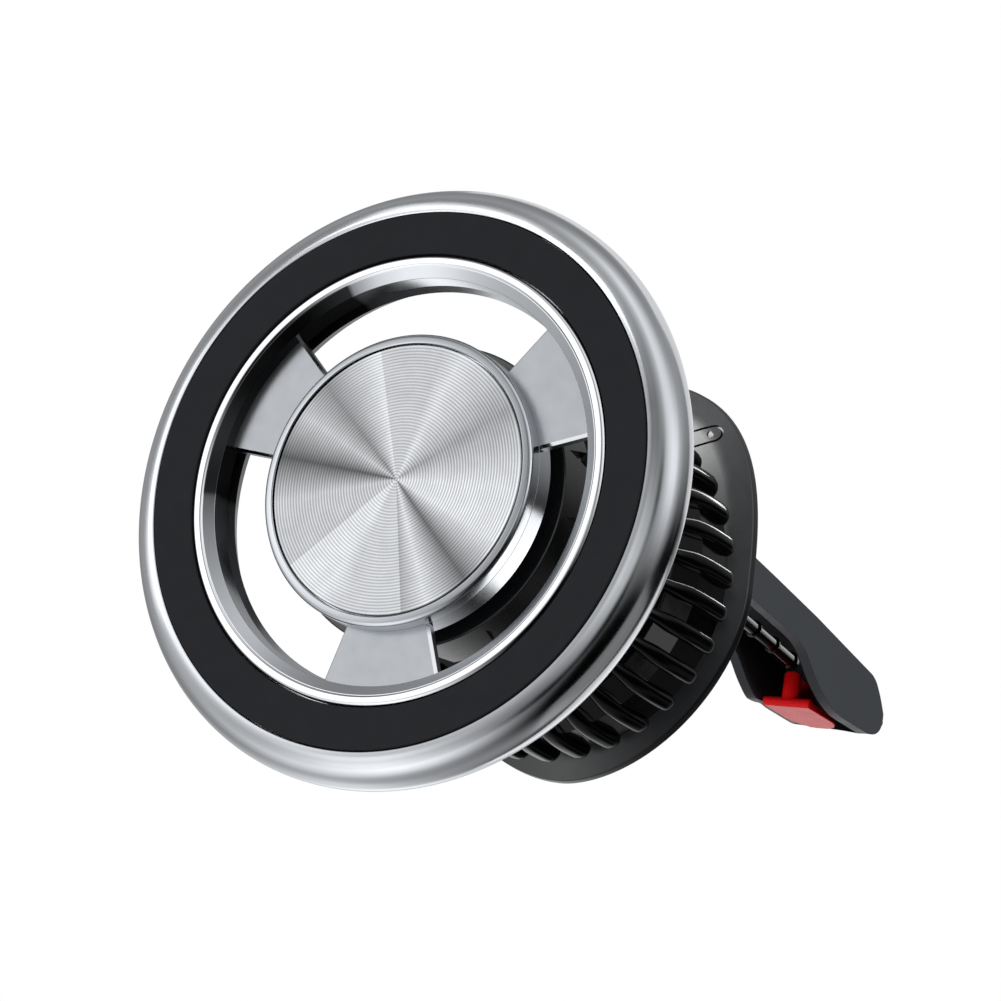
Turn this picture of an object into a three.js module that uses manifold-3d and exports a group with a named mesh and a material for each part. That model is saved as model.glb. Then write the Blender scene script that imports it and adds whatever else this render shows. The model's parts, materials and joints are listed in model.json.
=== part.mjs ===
// Air-vent phone mount: a magnetic ring head on a ball joint, a finned clamp knob,
// an oval base plate, and a hook arm that reaches behind a vent blade.
// Millimetres. +Y runs back into the vent, -Y faces the driver, +Z is up.
// The origin is on the clamp axis, in the plane where the base plate's rubber seat meets the vent.
import * as THREE from 'three';
import { mergeVertices } from 'three/addons/utils/BufferGeometryUtils.js';
import Module from 'manifold-3d';

const wasm = await Module();
wasm.setup();

// ---- driving dimensions ----
const HEAD_REACH = 44;          // phone pad face to vent seat
const GAP = 0.3;                // clearance between pieces that touch
const PAD_INNER_R = 23.6;
const PAD_OUTER_R = 28.0;
const PAD_THICKNESS = 1.0;
const RING_OUTER_R = 31.25;
const RING_OPENING_R = 20.9;
const RING_DEPTH = 6.5;
const SPOKE_ANGLES = [30, 150, 270];
const SPOKE_SPAN = 36;
const SPOKE_FRONT = 2.0;
const SPOKE_THICKNESS = 1.3;
const MAGNET_COUNT = 16;
const HUB_R = 15.1;
const DISC_R = 14.1;
const HUB_SCREW_COUNT = 3;
const HUB_SCREW_CIRCLE_R = 10.9;
const BALL_DEPTH = 11.5;        // ball centre behind the pad face
const BALL_R = 7.5;
const LINER_THICKNESS = 0.5;
const LOCK_NUT_R = 15.9;
const LOCK_NUT_NOTCHES = 14;
const STEM_R = 4.0;
const STEM_FLAT = 3.2;          // half distance across the stem's two flats
const STEM_END = 18.2;
const KNOB_FRONT = 25.4;        // depths behind the pad face
const KNOB_BACK = 38.7;
const KNOB_CORE_R = 18.3;       // flat panels between the fins, where they are widest
const FIN_COUNT = 32;
const FIN_THICKNESS = 1.05;
const FIN_BULGE_R = 19.4;
const BASE_FRONT = 39.3;
const BASE_RIM = 41.7;
const BASE_BACK = 42.6;
const BASE_HALF_WIDTH = 19.2;
const BASE_TOP = 23.4;          // base plate's reach above and below the clamp axis
const BASE_BOTTOM = 20.4;
const BASE_TOP_SQUARENESS = 2.87;
const BASE_BOTTOM_SQUARENESS = 1.8;
const SPIGOT_R = 8.2;
const BUSH_R = 6.0;
const ARM_HALF_WIDTH = 4.9;
const ARM_WALL = 1.2;
const ROD_R = 0.8;
const ROD_DROP = 0.1025;        // fall of the ribbed rod per millimetre of reach
const ROUND = 36;               // facets of a full circle
const FINE_ROUND = 48;          // facets of the largest circles
const INNER_ROUND = 24;         // facets of small hidden circles

// ---- materials ----
function finish(color, roughness, metalness) {
  return new THREE.MeshStandardMaterial({ color, roughness, metalness });
}

const satinAluminium = () => finish(0xaeb1b6, 0.35, 1.0);
const polishedAluminium = () => finish(0xd6d8dc, 0.15, 1.0);
const spunAluminium = () => finish(0xc2c4c8, 0.28, 1.0);
const steel = () => finish(0x8c8f94, 0.4, 1.0);
const brass = () => finish(0xb6924a, 0.35, 1.0);
const magnetNickel = () => finish(0x9a9ca0, 0.25, 1.0);
const glossBlack = () => finish(0x17181b, 0.25, 0.0);
const satinBlack = () => finish(0x222428, 0.45, 0.0);
const mattGrey = () => finish(0x46494e, 0.6, 0.0);
const silicone = () => finish(0x2e2f33, 0.75, 0.0);
const rubber = () => finish(0x1b1c1e, 0.9, 0.0);
const nylon = () => finish(0xd9d6cc, 0.6, 0.0);
const redPlastic = () => finish(0xd81a1c, 0.35, 0.0);

// ---- geometry helpers ----
const radians = THREE.MathUtils.degToRad;

/** Keep positions only and share the vertices, so the mesh is one closed surface. */
function weld(geometry) {
  const bare = geometry.clone();
  bare.deleteAttribute('normal');
  bare.deleteAttribute('uv');
  return mergeVertices(bare, 1e-5);
}

function toManifold(geometry) {
  const welded = weld(geometry);
  return new wasm.Manifold(new wasm.Mesh({
    numProp: 3,
    vertProperties: new Float32Array(welded.attributes.position.array),
    triVerts: new Uint32Array(welded.index.array),
  }));
}

function toGeometry(manifold) {
  const mesh = manifold.getMesh();
  const geometry = new THREE.BufferGeometry();
  geometry.setAttribute('position', new THREE.BufferAttribute(mesh.vertProperties, 3));
  geometry.setIndex(new THREE.BufferAttribute(mesh.triVerts, 1));
  return geometry;
}

/** Join the first solid with every solid in `added`, then take every solid in `removed` away. */
function combine(first, added, removed) {
  let solid = toManifold(first);
  for (const geometry of added) solid = solid.add(toManifold(geometry));
  for (const geometry of removed) solid = solid.subtract(toManifold(geometry));
  return toGeometry(solid);
}

function profileArea(points) {
  return points.reduce((sum, [r, y], i) => {
    const [nextR, nextY] = points[(i + 1) % points.length];
    return sum + (r * nextY - nextR * y) / 2;
  }, 0);
}

/** Turn a profile of [radius, y] points around the Y axis; a profile off the axis is closed on itself. */
function turned(points, facets = ROUND) {
  const ordered = profileArea(points) > 0 ? points.slice() : points.slice().reverse();
  const onAxis = (point) => point[0] === 0;
  if (ordered.some(onAxis)) {
    while (!(onAxis(ordered[0]) && !onAxis(ordered[1]))) ordered.push(ordered.shift());
  } else {
    ordered.push(ordered[0]);
  }
  const geometry = new THREE.LatheGeometry(ordered.map(([r, y]) => new THREE.Vector2(r, y)), facets);
  return weld(geometry);
}

/** A plain tube or disc around the Y axis. */
function ring(innerR, outerR, front, back, facets = ROUND) {
  const inner = innerR > 0 ? [[innerR, back], [innerR, front]] : [[0, back], [0, front]];
  return turned([[outerR, front], [outerR, back], ...inner], facets);
}

/** Extrude a shape drawn in X and Z, as seen from the front, from `front` to `back` along Y. */
function extrudeAlongY(shape, front, back, curveSegments = 6) {
  const options = { depth: back - front, bevelEnabled: false, curveSegments };
  const geometry = new THREE.ExtrudeGeometry(shape, options);
  geometry.rotateX(Math.PI / 2);
  geometry.translate(0, back, 0);
  return weld(geometry);
}

/** Extrude a side view drawn in Y and Z across X, centred on the YZ plane. */
function extrudeAcross(shape, halfWidth, curveSegments = 6) {
  const options = { depth: 2 * halfWidth, bevelEnabled: false, curveSegments };
  const geometry = new THREE.ExtrudeGeometry(shape, options);
  geometry.translate(0, 0, -halfWidth);
  const yzx = new THREE.Matrix4().makeBasis(
    new THREE.Vector3(0, 1, 0), new THREE.Vector3(0, 0, 1), new THREE.Vector3(1, 0, 0));
  geometry.applyMatrix4(yzx);
  return weld(geometry);
}

/** A sector of a flat ring centred on `angle` degrees, counted from +X towards +Z. */
function sectorShape(innerR, outerR, angle, span, segments = 3) {
  const start = radians(angle - span / 2);
  const step = radians(span) / segments;
  const shape = new THREE.Shape();
  for (let i = 0; i <= segments; i += 1) {
    const a = start + i * step;
    const x = outerR * Math.cos(a);
    const z = outerR * Math.sin(a);
    if (i === 0) shape.moveTo(x, z);
    else shape.lineTo(x, z);
  }
  for (let i = segments; i >= 0; i -= 1) {
    const a = start + i * step;
    shape.lineTo(innerR * Math.cos(a), innerR * Math.sin(a));
  }
  return shape;
}

/** Points of a circular arc in a profile, from one angle to another in degrees. */
function arcPoints(centreR, centreY, radius, fromAngle, toAngle, steps) {
  return Array.from({ length: steps + 1 }, (_, i) => {
    const a = radians(fromAngle + ((toAngle - fromAngle) * i) / steps);
    return [centreR + radius * Math.cos(a), centreY + radius * Math.sin(a)];
  });
}

function placed(geometry, x, y, z) {
  geometry.translate(x, y, z);
  return geometry;
}

const mount = new THREE.Group();
const depthFrame = new THREE.Group();   // everything given as depth behind the pad face
depthFrame.position.y = -HEAD_REACH;
mount.add(depthFrame);

function addPiece(group, name, geometry, material) {
  const mesh = new THREE.Mesh(geometry, material);
  mesh.name = name;
  group.add(mesh);
}

// ---- magnetic ring head ----
const CHANNEL_INNER_R = 22.9;
const CHANNEL_OUTER_R = 28.9;
const CHANNEL_FLOOR = 2.1;

/** Section of the ring: bead, pad recess, rounded rim, and a channel open to the back for magnets. */
function ringSection() {
  const padFloor = PAD_THICKNESS + GAP;
  const recessInner = PAD_INNER_R - 0.1;
  const recessOuter = PAD_OUTER_R + 0.1;
  return [
    [21.25, 0.75], [22.3, 0.15], [22.9, 0.1], [recessInner, 0.25],
    [recessInner, padFloor], [recessOuter, padFloor], [recessOuter, 0.3], [28.8, 0.25],
    [29.9, 0.75], [30.8, 1.7], [RING_OUTER_R, 3.0], [31.0, 4.5], [30.2, 5.8], [29.3, RING_DEPTH],
    [CHANNEL_OUTER_R, RING_DEPTH], [CHANNEL_OUTER_R, CHANNEL_FLOOR],
    [CHANNEL_INNER_R, CHANNEL_FLOOR], [CHANNEL_INNER_R, RING_DEPTH],
    [22.0, RING_DEPTH], [RING_OPENING_R, 4.2], [21.25, 3.0],
  ];
}

/** Cup behind the disc: a front plate with a side wall, open to the back. */
function hubSection() {
  const plateBack = SPOKE_FRONT + 1.4;
  const wallBack = 4.4;
  const wallInnerR = 13.7;
  return [
    [0, SPOKE_FRONT], [HUB_R, SPOKE_FRONT], [HUB_R, wallBack],
    [wallInnerR, wallBack], [wallInnerR, plateBack], [0, plateBack],
  ];
}

function hubScrewPlaces() {
  return Array.from({ length: HUB_SCREW_COUNT }, (_, i) => {
    const a = radians(90 + (i * 360) / HUB_SCREW_COUNT);
    return [HUB_SCREW_CIRCLE_R * Math.cos(a), HUB_SCREW_CIRCLE_R * Math.sin(a)];
  });
}

const SCREW_HEAD_R = 1.8;
const SCREW_SHANK_R = 0.9;
const SCREW_HEAD_BACK = 2.8;
const SCREW_TIP = 7.4;

function headFrame() {
  const spokes = SPOKE_ANGLES.map((angle) => {
    const shape = sectorShape(HUB_R - 1.2, RING_OPENING_R + 1.4, angle, SPOKE_SPAN, 4);
    return extrudeAlongY(shape, SPOKE_FRONT, SPOKE_FRONT + SPOKE_THICKNESS);
  });
  const screwHoles = hubScrewPlaces().flatMap(([x, z]) => [
    placed(ring(0, SCREW_HEAD_R + GAP, 1.0, SCREW_HEAD_BACK + 0.1, 16), x, 0, z),
    placed(ring(0, SCREW_SHANK_R + GAP, 1.0, 5.0, 16), x, 0, z),
  ]);
  return combine(turned(ringSection(), FINE_ROUND), [turned(hubSection()), ...spokes], screwHoles);
}

function magnet(index) {
  const pitch = 360 / MAGNET_COUNT;
  return extrudeAlongY(sectorShape(23.8, 28.0, index * pitch, pitch - 1.6), 2.5, 4.4);
}

function addRing(head) {
  addPiece(head, 'head_frame', headFrame(), satinAluminium());
  addPiece(head, 'silicone_pad', ring(PAD_INNER_R, PAD_OUTER_R, 0, PAD_THICKNESS, FINE_ROUND), silicone());
  for (let i = 0; i < MAGNET_COUNT; i += 1) {
    addPiece(head, `magnet_${String(i + 1).padStart(2, '0')}`, magnet(i), magnetNickel());
  }
  addPiece(head, 'yoke_ring', ring(23.4, 28.4, 4.7, 5.2, INNER_ROUND), steel());
  addPiece(head, 'ring_back_cover', ring(23.2, 28.6, 5.5, RING_DEPTH - 0.1), satinBlack());
}

// ---- hub, socket and ball joint ----
/** Polished shoulder around the disc, with a shallow tray that the disc sits in. */
function bezelSection() {
  const trayFloor = 1.3;
  const back = SPOKE_FRONT - GAP;
  return [
    [DISC_R + 0.2, 0.35], [14.6, 0.2], [15.0, 0.35], [15.3, 0.8], [15.3, back],
    [8.0, back], [8.0, trayFloor], [DISC_R + 0.2, trayFloor],
  ];
}

function screw() {
  return turned([
    [0, SPOKE_FRONT], [SCREW_HEAD_R, SPOKE_FRONT], [SCREW_HEAD_R, SCREW_HEAD_BACK],
    [SCREW_SHANK_R, SCREW_HEAD_BACK], [SCREW_SHANK_R, SCREW_TIP], [0, SCREW_TIP],
  ], 16);
}

const CAVITY_R = BALL_R + 2 * LINER_THICKNESS + 0.65;
const CUP_COLLAR_R = 12.2;
const CUP_BACK = 14.4;

/** Angle of the cup's mouth seen from the ball centre, for a sphere of radius r cut at depth `back`. */
function mouthAngle(radius, back) {
  return THREE.MathUtils.radToDeg(Math.asin((back - BALL_DEPTH) / radius));
}

/** Black cup behind the hub plate: a flange, a threaded collar and a split, tapered mouth. */
function socketCup() {
  const flangeFront = SPOKE_FRONT + 1.4 + GAP;
  const cavity = arcPoints(0, BALL_DEPTH, CAVITY_R, mouthAngle(CAVITY_R, CUP_BACK), -50, 5);
  const body = turned([
    ...cavity, [cavity.at(-1)[0], flangeFront], [13.4, flangeFront], [13.4, 5.7],
    [CUP_COLLAR_R, 5.7], [CUP_COLLAR_R, 11.2], [9.9, CUP_BACK],
  ]);
  const holes = hubScrewPlaces().map(([x, z]) =>
    placed(ring(0, SCREW_SHANK_R + GAP, 3.0, SCREW_TIP + GAP, 16), x, 0, z));
  const slit = new THREE.BoxGeometry(40, 8, 1.0).translate(0, 13.0, 0);
  const crossSlit = new THREE.BoxGeometry(1.0, 8, 40).translate(0, 13.0, 0);
  return combine(body, [], [...holes, slit, crossSlit]);
}

/** Thin part-spherical shell between the ball and the cup. */
function sphericalShell(innerR, frontAngle, back) {
  const outerR = innerR + LINER_THICKNESS;
  return turned([
    ...arcPoints(0, BALL_DEPTH, outerR, frontAngle, mouthAngle(outerR, back), 5),
    ...arcPoints(0, BALL_DEPTH, innerR, mouthAngle(innerR, back), frontAngle, 5),
  ], INNER_ROUND);
}

/** Notched nut that squeezes the cup onto the ball. */
/** Wedge that cuts one V-shaped notch; its point faces the nut's front. */
function notchWedge(angle) {
  const pointDepth = 7.6;
  const openDepth = 14.0;
  const halfWidth = 1.6;
  const notchDepth = 1.4;
  const outline = new THREE.Shape([
    new THREE.Vector2(pointDepth, 0),
    new THREE.Vector2(openDepth, halfWidth),
    new THREE.Vector2(openDepth, -halfWidth),
  ]);
  const wedge = new THREE.ExtrudeGeometry(outline, { depth: 2 * notchDepth, bevelEnabled: false });
  const alongDepth = new THREE.Vector3(0, 1, 0);
  const aroundNut = new THREE.Vector3(0, 0, 1);
  const outward = new THREE.Vector3(1, 0, 0);
  wedge.applyMatrix4(new THREE.Matrix4().makeBasis(alongDepth, aroundNut, outward));
  wedge.translate(LOCK_NUT_R - notchDepth, 0, 0);
  return wedge.rotateY(radians(angle));
}

function lockNut() {
  const front = 6.3;
  const firstNotch = -17.5;
  const body = turned([
    [12.6, front], [LOCK_NUT_R - 0.2, front], [LOCK_NUT_R, front + 0.2], [LOCK_NUT_R, 12.0],
    [14.8, 13.0], [10.6, 14.6], [10.3, 14.6], [12.6, 11.3],
  ], FINE_ROUND);
  const notches = Array.from({ length: LOCK_NUT_NOTCHES }, (_, i) => (
    notchWedge(firstNotch + (i * 360) / LOCK_NUT_NOTCHES)
  ));
  return combine(body, [], notches);
}

function addHub(head) {
  addPiece(head, 'hub_bezel', turned(bezelSection()), polishedAluminium());
  addPiece(head, 'hub_disc', ring(0, DISC_R, 0.3, 1.1), spunAluminium());
  hubScrewPlaces().forEach(([x, z], i) => {
    addPiece(head, `hub_screw_${i + 1}`, placed(screw(), x, 0, z), steel());
  });
  addPiece(head, 'socket_cup', socketCup(), satinBlack());
  addPiece(head, 'socket_liner', sphericalShell(BALL_R + 0.15, -48, 14.3), nylon());
  addPiece(head, 'friction_shell', sphericalShell(BALL_R + LINER_THICKNESS + 0.35, -42, 14.3), satinBlack());
  addPiece(head, 'ball_lock_nut', lockNut(), glossBlack());
}

/** Ball with a short neck, bored to screw onto the stem. */
function ball() {
  const neckR = 5.0;
  const neckStart = BALL_DEPTH + Math.sqrt(BALL_R ** 2 - neckR ** 2);
  const sphere = arcPoints(0, BALL_DEPTH, BALL_R, -90, THREE.MathUtils.radToDeg(
    Math.asin((neckStart - BALL_DEPTH) / BALL_R)), 8);
  const boreR = STEM_R + GAP;
  const boreFront = BALL_DEPTH + 1.0;
  return turned([
    [0, sphere[0][1]], ...sphere.slice(1), [neckR, 20.6], [boreR, 20.6], [boreR, boreFront], [0, boreFront],
  ], INNER_ROUND);
}

// ---- clamp knob ----
const NUT_FRONT = 27.4;
const NUT_BACK = 35.6;
const NUT_CORNER_R = 7.4;
const RETAINER_ROOM_R = 10.8;

/** Outer edge radius of a fin at `s` millimetres in front of the knob's back: a squared-off ellipse. */
function finRadius(s) {
  const bulgeAt = 3.5;
  const reach = 11.0;
  const rootR = 9.0;
  const squareness = 2.6;
  const along = Math.abs((s - bulgeAt) / reach);
  return rootR + (FIN_BULGE_R - rootR) * (1 - along ** squareness) ** (1 / squareness);
}

/** Solid middle of the knob: one flat panel between each two fins, in two slightly different slopes. */
function knobCore() {
  const back = KNOB_BACK - 0.2;
  const boreR = STEM_R + 0.5;
  const spigotRoomR = SPIGOT_R + 0.8;
  return turned([
    [boreR, KNOB_FRONT], [10.6, KNOB_FRONT], [15.0, 26.9], [17.3, 28.3], [KNOB_CORE_R, 32.2],
    [KNOB_CORE_R - 0.2, back], [spigotRoomR, back], [spigotRoomR, 38.0], [RETAINER_ROOM_R, 37.8],
    [RETAINER_ROOM_R, NUT_BACK], [boreR, NUT_BACK],
  ], FIN_COUNT);
}

/** One fin: a thin plate with a bulging edge, standing on the core where two panels meet. */
function fin(index) {
  const front = KNOB_FRONT + 1.2;
  const edgeSteps = 6;
  const shape = new THREE.Shape();
  shape.moveTo(12.0, front);
  for (let i = edgeSteps; i >= 0; i -= 1) {
    const depth = KNOB_BACK - ((KNOB_BACK - front) * i) / edgeSteps;
    shape.lineTo(finRadius(KNOB_BACK - depth), depth);
  }
  shape.lineTo(16.0, KNOB_BACK);
  shape.lineTo(16.0, 30.0);
  const options = { depth: FIN_THICKNESS, bevelEnabled: false };
  const plate = new THREE.ExtrudeGeometry(shape, options);
  plate.translate(0, 0, -FIN_THICKNESS / 2);
  return plate.rotateY(radians((index * 360) / FIN_COUNT));
}

function hexagon(cornerR, front, back) {
  return ring(0, cornerR, front, back, 6);
}

function knobBody() {
  const fins = Array.from({ length: FIN_COUNT }, (_, i) => fin(i));
  const nutRoom = hexagon(NUT_CORNER_R + GAP, NUT_FRONT - GAP, NUT_BACK + 1);
  return combine(knobCore(), fins, [nutRoom]);
}

function nutInsert() {
  return combine(hexagon(NUT_CORNER_R, NUT_FRONT, NUT_BACK), [], [ring(0, STEM_R + GAP, 20, 40, 24)]);
}

function addKnob(group) {
  addPiece(group, 'clamp_knob', knobBody(), glossBlack());
  addPiece(group, 'nut_insert', nutInsert(), brass());
  addPiece(group, 'knob_front_ring', ring(STEM_R + 0.6, 9.6, 24.4, KNOB_FRONT - GAP), satinBlack());
}

// ---- base plate ----
/** Distance from the clamp axis to the base plate's edge, in the direction of (x, z). */
function baseReach(x, z) {
  const angle = Math.atan2(z, x);
  const height = z > 0 ? BASE_TOP : BASE_BOTTOM;
  const squareness = z > 0 ? BASE_TOP_SQUARENESS : BASE_BOTTOM_SQUARENESS;
  const across = Math.abs(Math.cos(angle) / BASE_HALF_WIDTH) ** squareness;
  const upright = Math.abs(Math.sin(angle) / height) ** squareness;
  return (across + upright) ** (-1 / squareness);
}

/** Turned section stretched to the base plate's outline: square at the top, tapered below. */
function shield(points, facets = ROUND) {
  const geometry = turned(points, facets);
  const corners = geometry.getAttribute('position');
  for (let i = 0; i < corners.count; i += 1) {
    const x = corners.getX(i);
    const z = corners.getZ(i);
    const stretch = baseReach(x, z) / BASE_TOP;
    corners.setX(i, x * stretch);
    corners.setZ(i, z * stretch);
  }
  return geometry;
}

const MARK_FLOOR = 40.4;

/** Slot-shaped bar at the upper right of the base plate, `extra` wider all round. */
function markBar(extra, front, back) {
  const halfLength = 2.4;
  const radius = 1.1 + extra;
  const bar = new THREE.Shape();
  bar.absarc(halfLength, 0, radius, -Math.PI / 2, Math.PI / 2, false);
  bar.absarc(-halfLength, 0, radius, Math.PI / 2, (3 * Math.PI) / 2, false);
  bar.closePath();
  const geometry = extrudeAlongY(bar, front, back);
  geometry.rotateY(radians(-18));
  return placed(geometry, 10.6, 0, 17.2);
}

function basePlate() {
  const plate = shield([
    [0, BASE_FRONT], [14.0, BASE_FRONT], [19.0, 39.6], [21.8, 40.0], [22.6, 40.4],
    [23.1, 41.0], [BASE_TOP, BASE_RIM], [23.2, 42.3], [22.6, BASE_BACK], [0, BASE_BACK],
  ], FINE_ROUND);
  const spigot = ring(BUSH_R + GAP, SPIGOT_R, 36.3, BASE_FRONT + 1);
  return combine(plate, [spigot], [ring(0, BUSH_R + GAP, 30, 50), markBar(GAP / 2, 38, MARK_FLOOR)]);
}

function seatPad() {
  const pad = shield([[0, BASE_BACK + GAP], [20.6, BASE_BACK + GAP], [20.6, 43.6], [20.2, 44.0], [0, 44.0]]);
  return combine(pad, [], [ring(0, 8.0, 30, 50)]);
}

/** Stem outline: a circle cut by two flats, as it passes through the bush. */
function doubleD(radius, flat) {
  const a = Math.acos(flat / radius);
  const shape = new THREE.Shape();
  shape.absarc(0, 0, radius, a, Math.PI - a, false);
  shape.absarc(0, 0, radius, Math.PI + a, 2 * Math.PI - a, false);
  shape.closePath();
  return shape;
}

function guideBush() {
  const body = turned([
    [0, 36.6], [BUSH_R, 36.6], [BUSH_R, 42.9], [7.4, 42.9], [7.4, 43.6], [0, 43.6],
  ], 32);
  return combine(body, [], [extrudeAlongY(doubleD(STEM_R + GAP, STEM_FLAT + GAP), 30, 50, 8)]);
}

/** Split spring clip on the spigot, which keeps the knob from coming off. */
function retainingClip() {
  const clip = ring(SPIGOT_R + GAP, 10.3, 36.6, 37.4, 32);
  const split = new THREE.BoxGeometry(3, 4, 20).translate(0, 37, -10);
  return combine(clip, [], [split]);
}

function addBase(group) {
  addPiece(group, 'base_plate', basePlate(), satinBlack());
  addPiece(group, 'seat_pad', seatPad(), rubber());
  addPiece(group, 'guide_bush', guideBush(), nylon());
  addPiece(group, 'retaining_clip', retainingClip(), steel());
  addPiece(group, 'slip_washer', ring(9.4, 14.4, KNOB_BACK + 0.1, BASE_FRONT - 0.1), nylon());
  addPiece(group, 'index_mark', markBar(0, 39.6, MARK_FLOOR - 0.1), satinBlack());
}

// ---- stem and hook arm (origin at the vent seat) ----
const STEM_FRONT = BALL_DEPTH + 1.3 - HEAD_REACH;
const FLATS_START = -7.5;
const ROOT_FRONT = 14.0;
const ROOT_BACK = 22.0;
const PIN_AT = 16.4;
const PIN_R = 1.0;

function pinHole(extra) {
  const hole = new THREE.CylinderGeometry(PIN_R + extra, PIN_R + extra, 30, 16);
  hole.rotateZ(Math.PI / 2);
  return placed(hole, 0, PIN_AT, 0);
}

function threadedStem() {
  const threaded = ring(0, STEM_R, STEM_FRONT, FLATS_START, 32);
  const keyed = extrudeAlongY(doubleD(STEM_R, STEM_FLAT), FLATS_START - 1, STEM_END, 8);
  return combine(threaded, [keyed], [pinHole(GAP)]);
}

/** Side view of the arm: root block, raised shank, S-shaped drop and rounded tip. */
function armOutline() {
  const side = new THREE.Shape();
  side.moveTo(ROOT_FRONT, -4.0);
  side.quadraticCurveTo(ROOT_FRONT, -5.4, ROOT_FRONT + 1.5, -5.4);
  side.lineTo(17.2, -5.4);
  side.quadraticCurveTo(17.8, -5.4, 18.2, -4.9);
  side.lineTo(21.4, -1.0);
  side.quadraticCurveTo(ROOT_BACK, -0.2, ROOT_BACK, 0.8);
  side.lineTo(ROOT_BACK, 6.4);
  side.quadraticCurveTo(ROOT_BACK, 7.8, ROOT_BACK + 1.6, 7.7);
  side.lineTo(35.6, 6.5);
  side.bezierCurveTo(40.5, 6.0, 40.5, 4.4, 43.6, 2.7);
  side.quadraticCurveTo(47.0, 0.7, 51.0, 0.7);
  side.lineTo(56.4, 0.7);
  side.bezierCurveTo(59.4, 0.8, 60.8, 2.0, 60.5, 3.9);
  side.lineTo(58.1, 6.8);
  side.quadraticCurveTo(57.4, 7.4, 56.4, 7.6);
  side.lineTo(41.4, 10.0);
  side.lineTo(19.0, 12.9);
  side.quadraticCurveTo(ROOT_FRONT, 13.4, ROOT_FRONT, 8.6);
  side.closePath();
  return side;
}

/** Side view of the space inside the arm, which is open underneath. */
function armChannel() {
  const hollow = new THREE.Shape();
  hollow.moveTo(ROOT_BACK + 1.6, -2);
  hollow.lineTo(ROOT_BACK + 1.6, 11.0);
  hollow.lineTo(41.2, 8.7);
  hollow.lineTo(56.0, 6.3);
  hollow.quadraticCurveTo(58.0, 5.6, 57.6, 3.4);
  hollow.lineTo(56.0, -2);
  hollow.closePath();
  return hollow;
}

function rodHeight(y) {
  return 7.31 - ROD_DROP * (y - 34.6);
}

const ROD_START = 19.6;
const ROD_END = 46.5;

function rodAxisPlaced(geometry) {
  geometry.rotateX(-Math.atan(ROD_DROP));
  return placed(geometry, 0, ROD_START, rodHeight(ROD_START));
}

function hookArm() {
  const rodHole = rodAxisPlaced(ring(0, ROD_R + 0.5, -GAP, 10, 16));
  const stemHole = ring(0, STEM_R + GAP, 10, STEM_END + GAP, 32);
  const channel = extrudeAcross(armChannel(), ARM_HALF_WIDTH - ARM_WALL);
  return combine(extrudeAcross(armOutline(), ARM_HALF_WIDTH), [], [channel, stemHole, pinHole(GAP), rodHole]);
}

/** Ribbed rod: plain lengths with a thin collar between them. */
function hookRod() {
  const length = (ROD_END - ROD_START) * Math.hypot(1, ROD_DROP);
  const collarPitch = 4.8;
  const firstCollar = 6.2;
  const points = [[0, 0], [ROD_R, 0]];
  for (let at = firstCollar; at < length - 1; at += collarPitch) {
    points.push([ROD_R, at], [ROD_R + 0.25, at + 0.15], [ROD_R + 0.25, at + 0.55], [ROD_R, at + 0.7]);
  }
  points.push([ROD_R, length], [0, length]);
  return rodAxisPlaced(turned(points, 16));
}

/** Red claw: a curved sole that closes the hook's mouth, a round post and a web behind it. */
function hookClaw() {
  const halfWidth = ARM_HALF_WIDTH - ARM_WALL - GAP;
  const sole = new THREE.Shape();
  sole.moveTo(45.4, 1.2);
  sole.quadraticCurveTo(45.4, 1.95, 46.1, 1.95);
  sole.lineTo(54.4, 1.85);
  sole.lineTo(55.2, 1.3);
  sole.lineTo(54.8, 0.85);
  sole.lineTo(46.0, 0.85);
  sole.closePath();
  const web = new THREE.Shape();
  web.moveTo(46.5, 1.4);
  web.lineTo(46.5, 4.7);
  web.lineTo(50.0, 4.7);
  web.lineTo(54.0, 1.4);
  web.closePath();
  const post = placed(new THREE.CylinderGeometry(0.95, 0.95, 3.6, 16).rotateX(Math.PI / 2), 0, 46.5, 3.2);
  return combine(extrudeAcross(sole, halfWidth), [extrudeAcross(web, 0.6), post], []);
}

function crossPin() {
  const pin = new THREE.CylinderGeometry(PIN_R, PIN_R, 2 * ARM_HALF_WIDTH - 0.6, 16);
  pin.rotateZ(Math.PI / 2);
  return weld(placed(pin, 0, PIN_AT, 0));
}

function addHook(group) {
  addPiece(group, 'threaded_stem', threadedStem(), steel());
  addPiece(group, 'hook_arm', hookArm(), mattGrey());
  addPiece(group, 'hook_rod', hookRod(), glossBlack());
  addPiece(group, 'hook_claw', hookClaw(), redPlastic());
  addPiece(group, 'cross_pin', crossPin(), steel());
}

addRing(depthFrame);
addHub(depthFrame);
addPiece(depthFrame, 'ball', ball(), steel());
addKnob(depthFrame);
addBase(depthFrame);
addHook(mount);

export default mount;
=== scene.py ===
"""Looks of a magnetic vent phone mount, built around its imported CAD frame.

Blender works in metres; every size in this script is in millimetres and is turned into metres by MM.
Turned pieces are drawn as (radius, depth, fillet) corners, where depth runs back from the phone pad's face.
"""
import json
import math

import bmesh
import bpy
from mathutils import Matrix, Vector


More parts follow.
